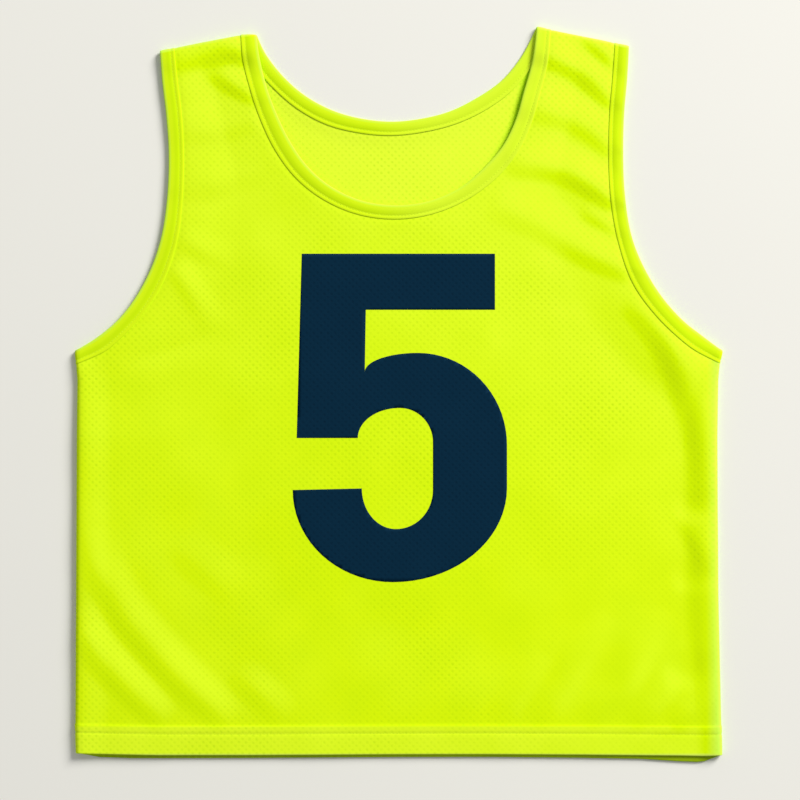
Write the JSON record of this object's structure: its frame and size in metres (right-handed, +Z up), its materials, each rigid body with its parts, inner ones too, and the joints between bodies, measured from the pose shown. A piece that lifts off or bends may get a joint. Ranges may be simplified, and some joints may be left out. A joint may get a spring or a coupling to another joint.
{
  "type": "mesh training bib",
  "caption": "Sleeveless training bib in neon yellow mesh, laid flat front up, with a scooped bound neck, bound armholes, a twin-stitched hem and a plain block number.",
  "frame": {"origin": "centre of the bib's bounding box in plan, on the surface that it lies on", "axes": "+X to the right of someone looking at the front, +Y from the hem to the neck, +Z up from the surface through the front"},
  "size_m": [0.5662, 0.6426, 0.007],
  "materials": {
    "mesh_cloth": "matte polyester micro-mesh",
    "binding_knit": "matte smooth knit",
    "number_print": "matte navy print"
  },
  "bodies": {
    "root": {"front_panel": "mesh_cloth", "back_panel": "mesh_cloth", "neck_binding": "binding_knit", "armhole_binding_left": "binding_knit", "armhole_binding_right": "binding_knit"}
  },
  "joints": []
}
